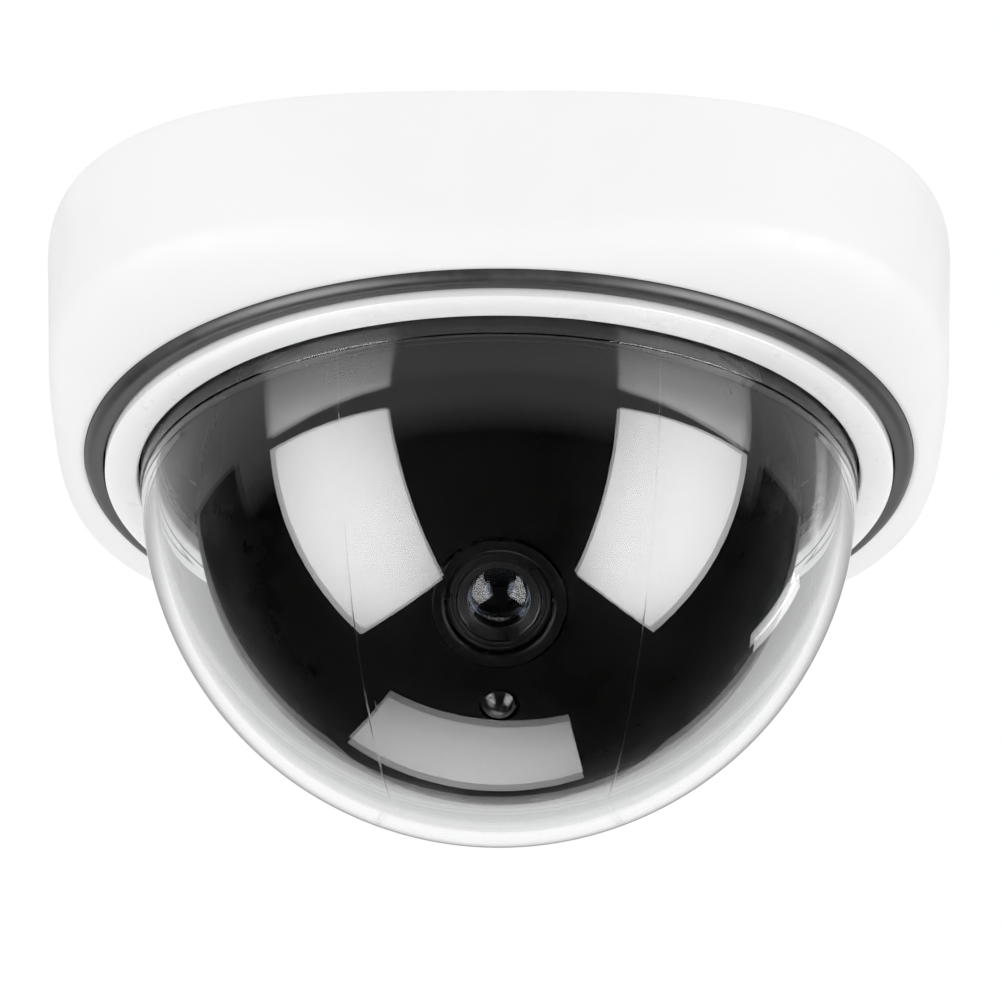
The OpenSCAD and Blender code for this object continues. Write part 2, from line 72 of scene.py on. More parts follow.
HALF_WIDTH = radius_of("housing")
FACE_Z = low_of("housing")
BEAD_R = radius_of("bead_ring")
BEAD_LOW = low_of("bead_ring")
TRIM_R = radius_of("trim_ring")
TRIM_LOW = low_of("trim_ring")
DOME_FLANGE_R = radius_of("dome")
DOME_LOW = low_of("dome")
DOME_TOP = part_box("dome")[1].z / MM

BALL_Z = JOINTS["tilt"]["pos_m"][2] / MM
LENS_AXIS = Vector(JOINTS["lens_rotation"]["axis"])
LENS_ANGLE = math.atan2(-LENS_AXIS.z, -LENS_AXIS.y)

# Housing
SQUARENESS = 3
DRAFT = 0.04
WALL = 2.4
EDGE_HEIGHT = 6.5
EDGE_POWER = 1.6
FACE_EDGE_R = 55.6
SHELF_LOW = FACE_Z + 2.5
SHELF_TOP = SHELF_LOW + 2
SHELF_R = 49.6
NOTCH_R = 52.4

# Opening and dome
OPENING_R = 47.8
DOME_R = 47.5
DOME_T = 2.0
DOME_Z = DOME_LOW + DOME_R
FLANGE_T = 1.5

# Eyeball and lens, with lengths along the lens axis measured from the eyeball's centre
BALL_R = 40.0
BALL_T = 1.8
RIM_TILT = math.radians(8)
RIM_HEIGHT = 4.2
LED_ANGLE = math.radians(21)
LED_R = 2.5
BEZEL_R = 8.4
BEZEL_TOP = 39.6
GLASS_R = 3.9

LENS_PLACE = Matrix.Translation((0, 0, BALL_Z * MM)) @ Matrix.Rotation(math.pi / 2 + LENS_ANGLE, 4, "X")
LED_PLACE = LENS_PLACE @ Matrix.Rotation(LED_ANGLE, 4, "X")


# ---- Outlines and meshes ----


def rounded(corners, steps=5):
    """A closed outline through corners (r, z, rounding in mm), with every corner rounded off."""
    outline = []
    for i, (r, z, rounding) in enumerate(corners):
        corner = Vector((r, z))
        to_last = Vector(corners[i - 1][:2]) - corner
        to_next = Vector(corners[(i + 1) % len(corners)][:2]) - corner
        if rounding == 0:
            outline.append(corner)
            continue
        reach = rounding / math.tan(to_last.angle(to_next) / 2)
        start = corner + to_last.normalized() * min(reach, to_last.length * 0.49)
        end = corner + to_next.normalized() * min(reach, to_next.length * 0.49)
        for k in range(steps + 1):
            t = k / steps
            outline.append(start * (1 - t) ** 2 + corner * (2 * t * (1 - t)) + end * t**2)
    return outline


def arc(centre, radii, start, end, steps):
    """Points (r, z) along part of an ellipse, with its angles in degrees."""
    points = []
    for i in range(steps + 1):
        a = math.radians(start + (end - start) * i / steps)
        points.append(Vector((centre[0] + radii[0] * math.cos(a), centre[1] + radii[1] * math.sin(a))))
    return points


def finish_mesh(name, mesh, place=Matrix(), sharp=35):
    """Welds a bmesh, turns its faces outwards, smooths all but its sharp edges, and makes an object."""
    bmesh.ops.remove_doubles(mesh, verts=mesh.verts, dist=1e-7)
    bmesh.ops.dissolve_degenerate(mesh, edges=mesh.edges, dist=1e-8)
    bmesh.ops.recalc_face_normals(mesh, faces=mesh.faces)
    for face in mesh.faces:
        face.smooth = True
    for edge in mesh.edges:
        edge.smooth = len(edge.link_faces) == 2 and edge.calc_face_angle(0) < math.radians(sharp)
    data = bpy.data.meshes.new(name)
    mesh.transform(place)
    mesh.to_mesh(data)
    mesh.free()
    obj = bpy.data.objects.new(name, data)
    bpy.context.scene.collection.objects.link(obj)
    return obj


def add_rings(mesh, rings):
    """Skins closed rings of points, in mm, from the first ring to the last and back to the first."""
    verts = [[mesh.verts.new([c * MM for c in point]) for point in ring] for ring in rings]
    count = len(verts[0])
    for k, ring in enumerate(verts):
        following = verts[(k + 1) % len(verts)]
        for i in range(count):
            j = (i + 1) % count
            mesh.faces.new((ring[i], ring[j], following[j], following[i]))


def turned_rings(outline, steps):
    """The rings that a closed outline of (r, z) points makes as it turns about the Z axis."""
    turns = [2 * math.pi * i / steps for i in range(steps)]
    return [[(r * math.cos(a), r * math.sin(a), z) for a in turns] for r, z in outline]


def turned(name, outline, place=Matrix(), steps=160, sharp=35):
    """A solid of revolution."""
    mesh = bmesh.new()
    add_rings(mesh, turned_rings(outline, steps))
    return finish_mesh(name, mesh, place, sharp)


# ---- Materials ----


class Nodes:
    """The node tree of one material, with short ways to add nodes and links."""

    def __init__(self, name, **settings):
        self.material = bpy.data.materials.new(name)
        self.material.use_nodes = True
        self.tree = self.material.node_tree
        self.shader = self.tree.nodes["Principled BSDF"]
        for socket, value in settings.items():
            self.shader.inputs[socket.replace("_", " ")].default_value = value
        self.place = self.add("ShaderNodeTexCoord").outputs["Object"]

    def add(self, kind, **settings):
        node = self.tree.nodes.new(kind)
        for key, value in settings.items():
            setattr(node, key, value)
        return node

    def link(self, source, target):
        self.tree.links.new(source, target)

    def noise(self, size, detail=3.0, roughness=0.5):
        """Noise whose blobs are about size metres across, from 0 to 1."""
        node = self.add("ShaderNodeTexNoise")
        node.inputs["Scale"].default_value = 1 / size
        node.inputs["Detail"].default_value = detail
        node.inputs["Roughness"].default_value = roughness
        self.link(self.place, node.inputs["Vector"])
        return node.outputs["Fac"]

    def ramp(self, source, low, high, from_low=0.35, from_high=0.65):
        """source, spread from low to high."""
        node = self.add("ShaderNodeMapRange")
        values = {"From Min": from_low, "From Max": from_high, "To Min": low, "To Max": high}
        for socket, value in values.items():
            node.inputs[socket].default_value = value
        self.link(source, node.inputs["Value"])
        return node.outputs["Result"]

    def maths(self, operation, *values):
        node = self.add("ShaderNodeMath", operation=operation)
        for socket, value in zip(node.inputs, values):
            if isinstance(value, (int, float)):
                socket.default_value = value
            else:
                self.link(value, socket)
        return node.outputs[0]

    def mix(self, factor, first, second):
        """Mixes two colours, each a tuple or a socket."""
        node = self.add("ShaderNodeMix", data_type="RGBA")
        self.link(factor, node.inputs["Factor"])
        for socket, value in ((node.inputs["A"], first), (node.inputs["B"], second)):
            if isinstance(value, tuple):
                socket.default_value = (*value, 1)
            else:
                self.link(value, socket)
        return node.outputs["Result"]

    def bump(self, height, distance, after=None):
        """A bump whose full height is distance metres, on top of the normal after."""
        node = self.add("ShaderNodeBump")
        node.inputs["Strength"].default_value = 1
        node.inputs["Distance"].default_value = distance
        self.link(height, node.inputs["Height"])
        if after:
            self.link(after, node.inputs["Normal"])
        return node.outputs["Normal"]

    def colour(self, socket):
        self.link(socket, self.shader.inputs["Base Color"])

    def roughness(self, socket):
        self.link(socket, self.shader.inputs["Roughness"])

    def normal(self, socket):
        self.link(socket, self.shader.inputs["Normal"])


def shade(colour, factor):
    return tuple(min(1.0, c * factor) for c in colour)


def moulded(name, colour, roughness, grain=0.3 * MM, depth=0.004 * MM, mottling=0.03, **settings):
    """Moulded plastic: faint flow mottling, gloss that varies with handling, and a fine eroded grain."""
    wear = 0.15
    nodes = Nodes(name, **settings)
    flow = nodes.noise(28 * MM, detail=2)
    nodes.colour(nodes.mix(nodes.ramp(flow, 0, 1), shade(colour, 1 - mottling), colour))
    smudges = nodes.noise(9 * MM, detail=5, roughness=0.65)
    nodes.roughness(nodes.ramp(smudges, roughness * (1 - wear), roughness * (1 + wear)))
    nodes.normal(nodes.bump(nodes.noise(grain, detail=2), depth))
    return nodes.material


def metal(name, colour, roughness, brushed=6, **settings):
    """Plated or turned metal, with fine scratches that run one way and cloudy plating."""
    nodes = Nodes(name, Metallic=1.0, **settings)
    cloud = nodes.noise(3 * MM, detail=4)
    nodes.colour(nodes.mix(nodes.ramp(cloud, 0, 1), shade(colour, 0.8), colour))
    stretch = nodes.add("ShaderNodeMapping")
    stretch.inputs["Scale"].default_value = (1, 1, brushed)
    nodes.link(nodes.place, stretch.inputs["Vector"])
    scratches = nodes.add("ShaderNodeTexNoise")
    scratches.inputs["Scale"].default_value = 1 / (0.4 * MM)
    nodes.link(stretch.outputs["Vector"], scratches.inputs["Vector"])
    nodes.roughness(nodes.ramp(scratches.outputs["Fac"], roughness * 0.75, roughness * 1.3))
    nodes.normal(nodes.bump(scratches.outputs["Fac"], 0.004 * MM))
    return nodes.material


def clear_plastic():
    """Clear moulded plastic: glossy, very slightly wavy, with two fine straight lines from its mould."""
    line_x = 13.8 * MM
    line_slope = 0.155
    line_half = 0.12 * MM
    nodes = Nodes("clear_dome", Transmission_Weight=1.0, IOR=1.49)
    nodes.shader.inputs["Base Color"].default_value = (0.985, 0.99, 0.992, 1)
    split = nodes.add("ShaderNodeSeparateXYZ")
    nodes.link(nodes.place, split.inputs["Vector"])
    across = nodes.maths("ABSOLUTE", split.outputs["X"])
    along = nodes.maths("ABSOLUTE", split.outputs["Y"])
    line = nodes.maths("MULTIPLY_ADD", along, line_slope, line_x)
    away = nodes.maths("ABSOLUTE", nodes.maths("SUBTRACT", across, line))
    ridge = nodes.ramp(away, 1, 0, 0, line_half)
    nodes.roughness(nodes.maths("MULTIPLY", ridge, 0.15))
    waves = nodes.bump(nodes.noise(16 * MM, detail=1), 0.004 * MM)
    nodes.normal(nodes.bump(ridge, 0.006 * MM, after=waves))
    return nodes.material


def gloss_black(name, colour, roughness, ripple=0.006 * MM, **settings):
    """Polished black plastic: near-black, with a faint ripple and finger haze in its gloss."""
    nodes = Nodes(name, **settings)
    haze = nodes.noise(12 * MM, detail=4, roughness=0.6)
    nodes.colour(nodes.mix(nodes.ramp(haze, 0, 1), shade(colour, 0.6), colour))
    nodes.roughness(nodes.ramp(haze, roughness * 0.6, roughness * 1.5))
    nodes.normal(nodes.bump(nodes.noise(6 * MM, detail=1), ripple))
    return nodes.material


def rubber():
    """Smooth black elastomer, with a dusty bloom and a fine grain."""
    nodes = Nodes("bead_rubber", IOR=1.5)
    bloom = nodes.noise(5 * MM, detail=6, roughness=0.7)
    nodes.colour(nodes.mix(nodes.ramp(bloom, 0, 1), (0.018, 0.018, 0.019), (0.03, 0.03, 0.031)))
    nodes.roughness(nodes.ramp(bloom, 0.34, 0.46))
    nodes.normal(nodes.bump(nodes.noise(0.25 * MM, detail=2), 0.004 * MM))
    return nodes.material


def lens_glass(name, colour):
    """Optical glass with a coating against glare, hence the low IOR, and a faint tint that shifts."""
    nodes = Nodes(name, Transmission_Weight=1.0, IOR=1.38, Roughness=0.08)
    tint = nodes.noise(3 * MM, detail=1)
    nodes.colour(nodes.mix(nodes.ramp(tint, 0, 1), shade(colour, 0.85), colour))
    return nodes.material


def circuit_board():
    """Green solder mask over traces, with tinned pads."""
    nodes = Nodes("board_green", IOR=1.5)
    traces = nodes.add("ShaderNodeTexBrick", offset=0.35)
    layout = {
        "Scale": 1 / (3 * MM),
        "Mortar Size": 0.05,
        "Brick Width": 1.4,
        "Row Height": 0.3,
        "Color1": (0.012, 0.11, 0.035, 1),
        "Color2": (0.016, 0.13, 0.045, 1),
        "Mortar": (0.006, 0.06, 0.02, 1),
    }
    for socket, value in layout.items():
        traces.inputs[socket].default_value = value
    turn = nodes.add("ShaderNodeMapping")
    turn.inputs["Rotation"].default_value = (math.pi / 2 + LENS_ANGLE, 0, 0)
    nodes.link(nodes.place, turn.inputs["Vector"])
    nodes.link(turn.outputs["Vector"], traces.inputs["Vector"])
    pads = nodes.add("ShaderNodeTexVoronoi")
    pads.inputs["Scale"].default_value = 1 / (1.9 * MM)
    nodes.link(nodes.place, pads.inputs["Vector"])
    tinned = nodes.maths("LESS_THAN", pads.outputs["Distance"], 0.17)
    nodes.colour(nodes.mix(tinned, traces.outputs["Color"], (0.55, 0.53, 0.48)))
    nodes.link(nodes.maths("MULTIPLY", tinned, 0.9), nodes.shader.inputs["Metallic"])
    nodes.roughness(nodes.ramp(nodes.noise(2 * MM), 0.3, 0.42))
    nodes.normal(nodes.bump(traces.outputs["Fac"], 0.03 * MM))
    return nodes.material


MATERIALS = {
    "housing_white": moulded(
        "housing_white", (0.92, 0.92, 0.92), 0.6, mottling=0.01, Specular_IOR_Level=0.3
    ),
    "trim_white": moulded("trim_white", (0.95, 0.95, 0.95), 0.3, depth=0.001 * MM, mottling=0.01),
    "plate_black": moulded("plate_black", (0.022, 0.022, 0.024), 0.5, grain=0.5 * MM, depth=0.02 * MM),
    "bead_rubber": rubber(),
    "clear_dome": clear_plastic(),
    "eyeball_black": gloss_black("eyeball_black", (0.003, 0.003, 0.003), 0.35, Specular_IOR_Level=0.015),
    "bezel_black": gloss_black("bezel_black", (0.005, 0.005, 0.005), 0.25, Specular_IOR_Level=0.06),
    "barrel_black": gloss_black(
        "barrel_black", (0.006, 0.006, 0.006), 0.3, ripple=0.001 * MM, Specular_IOR_Level=0.3
    ),
    "inner_black": moulded("inner_black", (0.014, 0.014, 0.015), 0.55, grain=0.4 * MM, depth=0.01 * MM),
    "steel": metal("steel", (0.62, 0.62, 0.63), 0.3),
    "brass": metal("brass", (0.72, 0.5, 0.22), 0.25, brushed=1),
    "nylon": moulded("nylon", (0.82, 0.79, 0.7), 0.45, Subsurface_Weight=0.1, Subsurface_Scale=MM),
    "board_green": circuit_board(),
    "chip_black": moulded("chip_black", (0.03, 0.03, 0.032), 0.6, grain=0.12 * MM, depth=0.006 * MM),
    "button_white": moulded("button_white", (0.82, 0.82, 0.8), 0.35),
    "led_lens": gloss_black("led_lens", (0.004, 0.003, 0.003), 0.25, Specular_IOR_Level=0.45),
    "lens_glass": lens_glass("lens_glass", (0.55, 0.62, 0.75)),
}

SLOTS = {part["node"]: part["material_slot"] for part in frame["record"]["subparts"]}
BODIES = {}
for body, members in frame["record"]["behaviour"]["bodies"].items():
    for member in members:
        BODIES[member] = body


def stand_for(obj, node):
    """obj takes the place, the body and the material slot of a CAD node."""
    obj.data.materials.append(MATERIALS[SLOTS[node]])
    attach(obj, BODIES[node])
    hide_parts(node)


def dress_cad_nodes():
    """Gives every CAD node its procedural material."""
    for name, node in NODES.items():
        node.data.materials.clear()
        node.data.materials.append(MATERIALS[SLOTS[name]])


# ---- Housing, rings and dome ----


def squircle(half, angle):
    """Radius of a rounded square of half width half, in the direction angle."""
    side = abs(math.cos(angle)) ** SQUARENESS + abs(math.sin(angle)) ** SQUARENESS
    return half / side ** (1 / SQUARENESS)


def in_notch(angle):
    """Whether the direction angle lies in one of the shelf's three bayonet notches."""
    notch_at = (120, 240, 360)
    half_width = 13
    degrees = math.degrees(angle) % 360
    return any(abs((degrees - at + 180) % 360 - 180) < half_width for at in notch_at)


def make_housing():
    """The cover: a drafted wall with a rounded rim, rolling into a flat face with a round opening."""
    steps = 288
    inner_low = FACE_Z + 2.2
    opening_r = BEAD_R + 0.05
    lip = 0.08
    rim = 0.5
    boss_at = 40
    boss_r = 3.4
    boss_low = -3.4
    pilot_r = 1.25
    turns = [2 * math.pi * i / steps for i in range(steps)]
    roll_high = FACE_Z + EDGE_HEIGHT
    rings = []

    def ring(radius, z):
        """One ring of points at height z, with a radius for each of the turns."""
        rings.append([(r * math.cos(a), r * math.sin(a), z) for r, a in zip(radius, turns)])

    def wall(z, inset):
        return [squircle(HALF_WIDTH, a) + DRAFT * z - inset for a in turns]

    def roll(part, edge_r, inset):
        """The roll from the wall to a circle of radius edge_r, where part goes from 0 to 90 degrees."""
        return [edge_r + (r - edge_r) * math.cos(part) ** EDGE_POWER for r in wall(roll_high, inset)]

    ring(wall(0, WALL - 0.3), 0)
    for k in range(6):
        a = math.pi / 2 * k / 5
        ring(wall(0, rim * (1 - math.sin(a))), -rim * (1 - math.cos(a)))
    for k in range(1, 16):
        z = -rim + (roll_high + rim) * k / 16
        ring(wall(z, 0), z)
    for k in range(29):
        a = math.pi / 2 * k / 28
        ring(roll(a, FACE_EDGE_R, 0), FACE_Z + EDGE_HEIGHT * (1 - math.sin(a)))
    ring([opening_r + lip] * steps, FACE_Z)
    ring([opening_r + lip * 0.3] * steps, FACE_Z + lip * 0.3)
    ring([opening_r] * steps, FACE_Z + lip)
    ring([opening_r] * steps, SHELF_LOW)
    shelf = [NOTCH_R if in_notch(a) else SHELF_R for a in turns]
    ring(shelf, SHELF_LOW)
    ring(shelf, SHELF_TOP)
    inner_rise = roll_high - inner_low
    shelf_meets = math.asin(1 - (SHELF_TOP - inner_low) / inner_rise)
    for k in range(7):
        a = shelf_meets * (1 - k / 6)
        ring(roll(a, FACE_EDGE_R - WALL, WALL), inner_low + inner_rise * (1 - math.sin(a)))
    ring(wall(-0.3, WALL), -0.3)
    mesh = bmesh.new()
    add_rings(mesh, rings)
    outline = [(pilot_r, boss_low + 0.3), (boss_r - 0.3, boss_low + 0.3), (boss_r, boss_low)]
    outline += [(boss_r, SHELF_TOP), (pilot_r, SHELF_TOP)]
    for x in (-boss_at, boss_at):
        for y in (-boss_at, boss_at):
            boss = turned_rings(outline, 40)
            add_rings(mesh, [[(px + x, py + y, pz) for px, py, pz in row] for row in boss])
    stand_for(finish_mesh("housing_shell", mesh), "housing")


def make_bead_ring():
    """The black bead round the opening: round on the outside, flat below, with a seam on either side."""
    inner = TRIM_R + 0.25
    crown = FACE_Z - BEAD_LOW
    outline = arc((BEAD_R - crown, FACE_Z), (crown, crown), 0, -90, 20)
    outline += arc((inner + 0.2, BEAD_LOW + 0.2), (0.2, 0.2), -90, -180, 5)
    outline += [Vector((inner, SHELF_LOW - 0.05)), Vector((BEAD_R, SHELF_LOW - 0.05))]
    stand_for(turned("bead_ring_soft", outline, steps=288), "bead_ring")


def make_trim_ring():
    """The white trim: a long soft curve down from the bead, and a small nose at the opening."""
    seat_z = DOME_TOP
    nose = 0.45
    nose_at = OPENING_R + nose
    shoulder = FACE_Z - 2.3
    outline = [Vector((49.2, seat_z)), Vector((TRIM_R - 0.1, seat_z)), Vector((TRIM_R, seat_z - 0.1))]
    outline += arc((nose_at, shoulder), (TRIM_R - nose_at, shoulder - TRIM_LOW), 0, -90, 32)
    outline += arc((nose_at, TRIM_LOW + nose), (nose, nose), -90, -180, 8)
    outline += [Vector((OPENING_R, seat_z - 1.9)), Vector((49.2, seat_z - 1.9))]
    stand_for(turned("trim_ring_soft", outline, steps=288), "trim_ring")


def make_dome():
    """The clear dome: a bowl of even thickness, a crease, a short upright wall and a flange."""
    crease = 0.15
    crease_soft = 0.2
    crease_z = FACE_Z - 5.1
    inner_r = DOME_R - DOME_T
    outline = rounded(
        [
            (inner_r, DOME_TOP, 0.3),
            (DOME_FLANGE_R, DOME_TOP, 0.15),
            (DOME_FLANGE_R, DOME_TOP - FLANGE_T, 0.15),
            (DOME_R, DOME_TOP - FLANGE_T, 0.4),
            (DOME_R, crease_z, crease_soft),
            (DOME_R - crease, crease_z - crease_soft, crease_soft),
        ],
        steps=4,
    )
    crease_at = -math.degrees(math.asin((DOME_Z - crease_z + 0.3) / DOME_R))
    outline += arc((0, DOME_Z), (DOME_R - crease, DOME_R), crease_at, -90, 96)
    outline += arc((0, DOME_Z), (inner_r, inner_r), -90, 0, 96)
    stand_for(turned("dome_clear", outline, steps=288, sharp=60), "dome")


# ---- Eyeball and lens ----


def make_eyeball():
    """The black ball: a shell cut open at the top, with one hole for the lens and one for the light."""
    steps = 256
    inner_r = BALL_R - BALL_T
    cut = math.degrees(math.asin(RIM_HEIGHT / BALL_R))
    cut_in = math.degrees(math.asin(RIM_HEIGHT / inner_r))
    outline = arc((0, 0), (BALL_R, BALL_R), cut - 0.4, -90, 110)
    outline += arc((0, 0), (inner_r, inner_r), -90, cut_in, 80)
    outline += [Vector((BALL_R * math.cos(math.radians(cut)) - 0.3, RIM_HEIGHT))]
    place = Matrix.Translation((0, 0, BALL_Z * MM)) @ Matrix.Rotation(-RIM_TILT, 4, "X")
    ball = turned("eyeball_gloss", outline, place, steps)
    holes = (("lens_hole", LENS_PLACE, BEZEL_R + 0.3), ("light_hole", LED_PLACE, LED_R + 0.1))
    for name, axis, radius in holes:
        corners = [(0, 20), (radius, 20), (radius, 60), (0, 60)]
        cutter = turned(name, [Vector(c) for c in corners], axis, 128)
        cut_hole = ball.modifiers.new(name, "BOOLEAN")
        cut_hole.object = cutter
        cut_hole.solver = "EXACT"
        bpy.context.view_layer.update()
        depsgraph = bpy.context.evaluated_depsgraph_get()
        shape = bpy.data.meshes.new_from_object(ball.evaluated_get(depsgraph))
        ball.modifiers.clear()
        ball.data = shape
        bpy.data.objects.remove(cutter)
    mesh = bmesh.new()
    mesh.from_mesh(ball.data)
    bpy.data.objects.remove(ball)
    stand_for(finish_mesh("eyeball_gloss", mesh), "eyeball_shell")


def make_lens_bezel():
    """The glossy ring round the lens: flat, with a thin rounded edge that catches the light."""
    outline = rounded(
        [
            (7.6, 30, 0.1),
            (8.2, 30, 0.1),
            (8.2, 33, 0.3),
            (BEZEL_R, 36, 0.3),
            (BEZEL_R, BEZEL_TOP - 0.05, 0.1),
            (BEZEL_R - 0.3, BEZEL_TOP, 0.15),
            (7.2, BEZEL_TOP - 0.02, 0.3),
            (6.85, BEZEL_TOP - 0.25, 0.1),
            (6.85, BEZEL_TOP - 2.1, 0.1),
            (7.6, BEZEL_TOP - 2.7, 0.1),
        ]
    )
    stand_for(turned("lens_bezel_gloss", outline, LENS_PLACE), "lens_bezel")


def make_lens_barrel():
    """The lens barrel: threaded behind, with a stepped, ridged front that keeps stray light down."""
    outline = [Vector((3.65, 20.4))]
    pitch = 0.5
    threads = 24
    for k in range(threads):
        z = 20.5 + pitch * k
        outline += [Vector((5.7, z)), Vector((5.95, z + pitch * 0.35)), Vector((5.95, z + pitch * 0.5))]
    outline += rounded(
        [
            (5.7, 33, 0.05),
            (6.7, 33.4, 0.15),
            (6.7, 38.2, 0.1),
            (6.45, 38.5, 0.08),
            (6.1, 38.5, 0.05),
            (6.05, 38.2, 0.05),
            (5.75, 38.2, 0.05),
            (5.7, 38.4, 0.05),
            (5.5, 38.4, 0.05),
            (5.48, 36.82, 0.05),
            (3.95, 36.8, 0.05),
            (3.95, 35, 0.05),
            (3.2, 34.4, 0.05),
            (3.2, 24.4, 0.05),
            (3.65, 24, 0.05),
        ]
    )[1:]
    stand_for(turned("lens_barrel_turned", outline, LENS_PLACE), "lens_barrel")


def make_lens_ring():
    """The retaining ring of the front element, a cone with fine anti-glare steps."""
    steps = 5
    outline = [Vector((3.98, 36.85)), Vector((5.45, 36.85)), Vector((5.45, 38)), Vector((5.2, 38.2))]
    for k in range(steps):
        r = 5.05 - 0.19 * k
        z = 38.15 - 0.14 * k
        outline += [Vector((r, z)), Vector((r - 0.05, z - 0.12)), Vector((r - 0.12, z - 0.12))]
    outline += [Vector((3.98, 37.3))]
    stand_for(turned("lens_ring_stepped", outline, LENS_PLACE), "lens_ring")


def make_front_element():
    """The front lens element, domed in front and hollowed behind."""
    curve = 6.4
    apex = 38.6
    edge = apex - curve + math.sqrt(curve**2 - GLASS_R**2)
    sweep = math.degrees(math.asin(GLASS_R / curve))
    outline = arc((0, apex - curve), (curve, curve), 90, 90 - sweep, 24)
    outline += [Vector((GLASS_R, edge - 0.1)), Vector((GLASS_R, 35.05)), Vector((3.3, 35.05))]
    outline += arc((0, 32.6), (3.9, 3.9), 38, 90, 16)
    stand_for(turned("front_element_ground", outline, LENS_PLACE), "front_element")


def make_status_light():
    """The small round light: a domed epoxy body with its flange and two legs."""
    low = 34.9
    shoulder = 38.6
    flange_r = LED_R + 0.3
    leg_x = 1.27
    leg_r = 0.25
    leg_low = low - 1.7
    leg_high = low + 0.1
    mesh = bmesh.new()
    outline = [Vector((0, low)), Vector((flange_r, low)), Vector((flange_r, low + 0.7))]
    outline += [Vector((LED_R + 0.05, low + 0.9)), Vector((LED_R, low + 1))]
    outline += arc((0, shoulder), (LED_R, LED_R), 0, 90, 24)
    add_rings(mesh, turned_rings(outline, 96))
    for x in (-leg_x, leg_x):
        leg = turned_rings([(0, leg_low), (leg_r, leg_low), (leg_r, leg_high), (0, leg_high)], 16)
        add_rings(mesh, [[(px + x, py, pz) for px, py, pz in row] for row in leg])
    stand_for(finish_mesh("status_light_domed", mesh, LED_PLACE), "status_led")


dress_cad_nodes()
make_housing()
make_bead_ring()
make_trim_ring()
make_dome()
make_eyeball()
make_lens_bezel()
make_lens_barrel()
make_lens_ring()
make_front_element()
make_status_light()


# ---- Studio ----

CAMERA_DISTANCE = 0.864
CAMERA_ELEVATION = math.radians(-26.5)
VIEW_DIRECTION = Vector((0, math.cos(CAMERA_ELEVATION), -math.sin(CAMERA_ELEVATION)))
DOME_CENTRE = Vector((0, 0, DOME_Z * MM))


def only_visible_to(obj, *rays):
    """obj is seen by these kinds of ray and no others."""
    for kind in ("camera", "diffuse", "glossy", "transmission", "volume_scatter", "shadow"):
        setattr(obj, "visible_" + kind, kind in rays)


def emission(name, strength, straight_only=False):
    """A white glow. With straight_only, it goes dark for light that has been mirrored on its way."""
    material = bpy.data.materials.new(name)
    material.use_nodes = True
    tree = material.node_tree
    tree.nodes.remove(tree.nodes["Principled BSDF"])
    glow = tree.nodes.new("ShaderNodeEmission")
    glow.inputs["Strength"].default_value = strength
    tree.links.new(glow.outputs[0], tree.nodes["Material Output"].inputs["Surface"])
    if straight_only:
        path = tree.nodes.new("ShaderNodeLightPath")
        straight = tree.nodes.new("ShaderNodeMath")
        straight.operation = "LESS_THAN"
        straight.inputs[1].default_value = 0.5
        tree.links.new(path.outputs["Glossy Depth"], straight.inputs[0])
        tree.links.new(straight.outputs[0], glow.inputs["Strength"])
    material.cycles.emission_sampling = "NONE"
    return material


def place_camera():
    """The camera, below the ceiling and in front, aimed a little below the centre of the ring."""
    aim_down = 4.74 * MM
    aim_right = 0.2 * MM
    ring_centre = Vector((0, 0, FACE_Z * MM))
    up = Vector((0, math.sin(CAMERA_ELEVATION), math.cos(CAMERA_ELEVATION)))
    target = ring_centre - up * aim_down + Vector((aim_right, 0, 0))
    data = bpy.data.cameras.new("camera")
    data.sensor_width = 36
    data.lens = 234
    data.clip_start = 0.05
    data.clip_end = 30
    camera = bpy.data.objects.new("camera", data)
    camera.location = ring_centre - VIEW_DIRECTION * CAMERA_DISTANCE
    camera.rotation_euler = (target - camera.location).to_track_quat("-Z", "Y").to_euler()
    bpy.context.scene.collection.objects.link(camera)
    bpy.context.scene.camera = camera


def hot_centre(data):
    """Dims an area light towards its edges, as the cloth of a soft box does."""
    data.use_nodes = True
    tree = data.node_tree
    across = tree.nodes.new("ShaderNodeVectorMath")
    across.operation = "DISTANCE"
    across.inputs[1].default_value = (0.5, 0.5, 0)
    squared = tree.nodes.new("ShaderNodeMath")
    squared.operation = "POWER"
    squared.inputs[1].default_value = 2
    fade = tree.nodes.new("ShaderNodeMapRange")
    fade.inputs["From Max"].default_value = 0.5
    fade.inputs["To Min"].default_value = 1.0
    fade.inputs["To Max"].default_value = 0.5
    tree.links.new(tree.nodes.new("ShaderNodeNewGeometry").outputs["Parametric"], across.inputs[0])
    tree.links.new(across.outputs["Value"], squared.inputs[0])
    tree.links.new(squared.outputs[0], fade.inputs["Value"])
    tree.links.new(fade.outputs[0], tree.nodes["Emission"].inputs["Strength"])


def soft_box(name, azimuth, elevation, width, height, radiance, roll=0, tilt=0):
    """A rectangular light 0.7 m from the dome, seen in glass and gloss.

    Azimuth 0 is in front of the lens, and 90 is towards +X. Roll turns the light about the line to
    the dome, and tilt then turns it about its own horizontal axis. All angles are in degrees.
    """
    distance = 0.7
    a = math.radians(azimuth)
    e = math.radians(elevation)
    away = Vector((math.sin(a) * math.cos(e), -math.cos(a) * math.cos(e), math.sin(e)))
    across = Vector((math.cos(a), math.sin(a), 0))
    facing = Matrix((across, away.cross(across), away)).transposed()
    facing = facing @ Matrix.Rotation(math.radians(roll), 3, "Z")
    facing = facing @ Matrix.Rotation(math.radians(tilt), 3, "X")
    data = bpy.data.lights.new(name, "AREA")
    data.shape = "RECTANGLE"
    data.size = width
    data.size_y = height
    data.energy = radiance * math.pi * width * height
    hot_centre(data)
    light = bpy.data.objects.new(name, data)
    light.location = DOME_CENTRE + away * distance
    light.rotation_euler = facing.to_euler()
    bpy.context.scene.collection.objects.link(light)
    only_visible_to(light, "glossy", "transmission")


